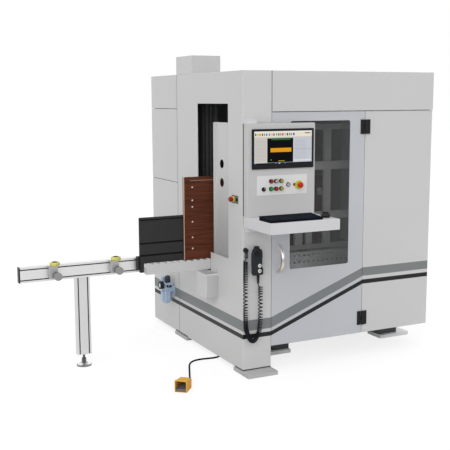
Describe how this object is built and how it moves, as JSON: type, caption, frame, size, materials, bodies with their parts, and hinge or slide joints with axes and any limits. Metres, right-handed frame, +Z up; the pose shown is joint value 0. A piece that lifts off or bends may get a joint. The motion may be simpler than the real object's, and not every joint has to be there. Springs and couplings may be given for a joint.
{
  "type": "cnc boring machine",
  "caption": "Vertical CNC boring machine: sheet metal cabinet with windowed door, swivel console, feed slot, roller infeed with fence and stops, and a foot pedal; boards are drilled on edge.",
  "frame": {"origin": "on the floor under the front left corner of the cabinet", "axes": "+X right along the front, +Y into the depth, +Z up"},
  "size_m": [2.849, 1.917, 2.078],
  "materials": {
    "cabinet_paint": "satin light grey powder coat",
    "door_paint": "satin cool grey powder coat",
    "dark_paint": "satin dark grey paint",
    "tinted_glass": "dark tinted acrylic",
    "chrome": "polished",
    "aluminium": "natural anodised",
    "black_aluminium": "black anodised",
    "steel": "ground",
    "black_plastic": "fine grain",
    "grey_plastic": "fine grain",
    "white_plastic": "smooth",
    "red_plastic": "gloss",
    "yellow_plastic": "gloss",
    "green_plastic": "gloss",
    "orange_plastic": "ribbed, satin",
    "roller_rubber": "soft polyurethane",
    "cord_rubber": "matt sheath",
    "air_paint": "light blue paint",
    "board_wood": "dark foil on particle board"
  },
  "bodies": {
    "machine": {"machine_frame": "dark_paint", "left_wall": "cabinet_paint", "slot_cover": "cabinet_paint", "enclosure_panels": "cabinet_paint", "column_cover": "cabinet_paint", "fascia": "cabinet_paint", "right_front_panel": "cabinet_paint", "tower_cover": "cabinet_paint", "control_plate": "aluminium", "machine_bed": "aluminium", "head_column": "steel", "frame_hinges": "dark_paint", "console_brackets": "dark_paint", "wall_stop_plate": "grey_plastic", "junction_box": "grey_plastic", "air_unit": "air_paint", "roller_track": "aluminium", "guide_fence": "black_aluminium", "side_rail": "aluminium", "rail_leg": "aluminium", "pendant_body": "black_plastic", "cord_glands": "black_plastic", "pendant_cord": "cord_rubber", "pedal_housing": "orange_plastic", "pedal_cable": "cord_rubber"},
    "door": {"door_panel": "door_paint", "door_window": "tinted_glass", "door_handle": "chrome", "door_hinges": "dark_paint"},
    "console": {"console_housing": "cabinet_paint", "monitor": "black_plastic", "keyboard_tray": "cabinet_paint", "keyboard": "black_plastic", "mouse": "black_plastic"},
    "board_feed": {"feed_gripper": "aluminium", "sample_board": "board_wood"},
    "push_button_1": {"push_button_1": "red_plastic"},
    "push_button_2": {"push_button_2": "white_plastic"},
    "push_button_3": {"push_button_3": "yellow_plastic"},
    "push_button_4": {"push_button_4": "green_plastic"},
    "push_button_5": {"push_button_5": "red_plastic"},
    "push_button_6": {"push_button_6": "yellow_plastic"},
    "key_switch": {"key_switch": "steel"},
    "selector": {"selector": "black_plastic"},
    "console_stop": {"console_stop": "red_plastic"},
    "wall_stop": {"wall_stop": "red_plastic"},
    "wall_button": {"wall_button": "green_plastic"},
    "pendant_dial": {"pendant_dial": "grey_plastic"},
    "pendant_button_1": {"pendant_button_1": "white_plastic"},
    "pendant_button_2": {"pendant_button_2": "white_plastic"},
    "pedal_treadle": {"pedal_treadle": "dark_paint"},
    "stop_slide_left": {"stop_slide_left": "aluminium"},
    "stop_slide_right": {"stop_slide_right": "aluminium"},
    "stop_roller_left": {"stop_roller_left": "roller_rubber"},
    "stop_roller_right": {"stop_roller_right": "roller_rubber"},
    "levelling_foot": {"levelling_foot": "chrome"},
    "air_knob": {"air_knob": "black_plastic"},
    "head_carriage": {"head_carriage": "aluminium"},
    "drill_head": {"drill_head": "aluminium"},
    "drill_spindle": {"drill_spindle": "steel"}
  },
  "joints": [
    {"name": "door_swing", "type": "hinge", "parent": "machine", "child": "door", "pos_m": [0.9245, -0.009, 0.93], "axis": [0, 0, 1], "range_deg": [0, 29]},
    {"name": "console_swing", "type": "hinge", "parent": "machine", "child": "console", "pos_m": [0.028, -0.038, 1.3], "axis": [0, 0, 1], "range_deg": [-100, 0]},
    {"name": "press_1", "type": "slide", "parent": "console", "child": "push_button_1", "axis": [0, 1, 0], "range_m": [0, 0.004], "stiffness_N_per_m": 300},
    {"name": "press_2", "type": "slide", "parent": "console", "child": "push_button_2", "axis": [0, 1, 0], "range_m": [0, 0.004], "stiffness_N_per_m": 300},
    {"name": "press_3", "type": "slide", "parent": "console", "child": "push_button_3", "axis": [0, 1, 0], "range_m": [0, 0.004], "stiffness_N_per_m": 300},
    {"name": "press_4", "type": "slide", "parent": "console", "child": "push_button_4", "axis": [0, 1, 0], "range_m": [0, 0.004], "stiffness_N_per_m": 300},
    {"name": "press_5", "type": "slide", "parent": "console", "child": "push_button_5", "axis": [0, 1, 0], "range_m": [0, 0.004], "stiffness_N_per_m": 300},
    {"name": "press_6", "type": "slide", "parent": "console", "child": "push_button_6", "axis": [0, 1, 0], "range_m": [0, 0.004], "stiffness_N_per_m": 300},
    {"name": "key_turn", "type": "hinge", "parent": "console", "child": "key_switch", "pos_m": [0.2905, -0.066, 1.236], "axis": [0, 1, 0], "range_deg": [0, 90]},
    {"name": "selector_turn", "type": "hinge", "parent": "console", "child": "selector", "pos_m": [0.1125, -0.066, 1.213], "axis": [0, 1, 0], "range_deg": [-45, 45]},
    {"name": "console_stop_press", "type": "slide", "parent": "console", "child": "console_stop", "axis": [0, 1, 0], "range_m": [0, 0.005], "stiffness_N_per_m": 300},
    {"name": "wall_stop_press", "type": "slide", "parent": "machine", "child": "wall_stop", "axis": [1, 0, 0], "range_m": [0, 0.006], "stiffness_N_per_m": 300},
    {"name": "wall_button_press", "type": "slide", "parent": "machine", "child": "wall_button", "axis": [1, 0, 0], "range_m": [0, 0.003], "stiffness_N_per_m": 300},
    {"name": "dial_turn", "type": "hinge", "parent": "machine", "child": "pendant_dial", "pos_m": [0.081, -0.048, 0.801], "axis": [0, 1, 0], "continuous": true},
    {"name": "pendant_press_1", "type": "slide", "parent": "machine", "child": "pendant_button_1", "axis": [0, 1, 0], "range_m": [0, 0.003], "stiffness_N_per_m": 300},
    {"name": "pendant_press_2", "type": "slide", "parent": "machine", "child": "pendant_button_2", "axis": [0, 1, 0], "range_m": [0, 0.003], "stiffness_N_per_m": 300},
    {"name": "treadle_press", "type": "hinge", "parent": "machine", "child": "pedal_treadle", "pos_m": [-0.48763, -0.11741, 0.012], "axis": [0.7593, -0.6508, 0], "range_deg": [-9, 0], "stiffness_Nm_per_rad": 1.5, "springref_deg": 5.73},
    {"name": "stop_left_slide", "type": "slide", "parent": "machine", "child": "stop_slide_left", "axis": [1, 0, 0], "range_m": [-0.15, 0.15]},
    {"name": "stop_right_slide", "type": "slide", "parent": "machine", "child": "stop_slide_right", "axis": [1, 0, 0], "range_m": [-0.1, 0.085]},
    {"name": "stop_left_roll", "type": "hinge", "parent": "stop_slide_left", "child": "stop_roller_left", "pos_m": [-1.063, 0.582, 0.73], "axis": [0, 0, 1], "continuous": true},
    {"name": "stop_right_roll", "type": "hinge", "parent": "stop_slide_right", "child": "stop_roller_right", "pos_m": [-0.651, 0.582, 0.73], "axis": [0, 0, 1], "continuous": true},
    {"name": "foot_height", "type": "slide", "parent": "machine", "child": "levelling_foot", "axis": [0, 0, 1], "range_m": [0, 0.02]},
    {"name": "air_knob_turn", "type": "hinge", "parent": "machine", "child": "air_knob", "pos_m": [-0.048, 1.155, 0.42], "axis": [0, 0, 1], "range_deg": [-150, 150]},
    {"name": "head_lift", "type": "slide", "parent": "machine", "child": "head_carriage", "axis": [0, 0, 1], "range_m": [-0.13, 0.65]},
    {"name": "head_plunge", "type": "slide", "parent": "head_carriage", "child": "drill_head", "axis": [0, -1, 0], "range_m": [0, 0.06]},
    {"name": "spindle_spin", "type": "hinge", "parent": "drill_head", "child": "drill_spindle", "pos_m": [0.17, 0.64, 0.96], "axis": [0, 1, 0], "continuous": true},
    {"name": "board_travel", "type": "slide", "parent": "machine", "child": "board_feed", "axis": [1, 0, 0], "range_m": [-0.6, 0.4]}
  ],
  "couplings": [
    {"joint": "console_swing", "follows": "door_swing", "ratio": -3.4}
  ]
}
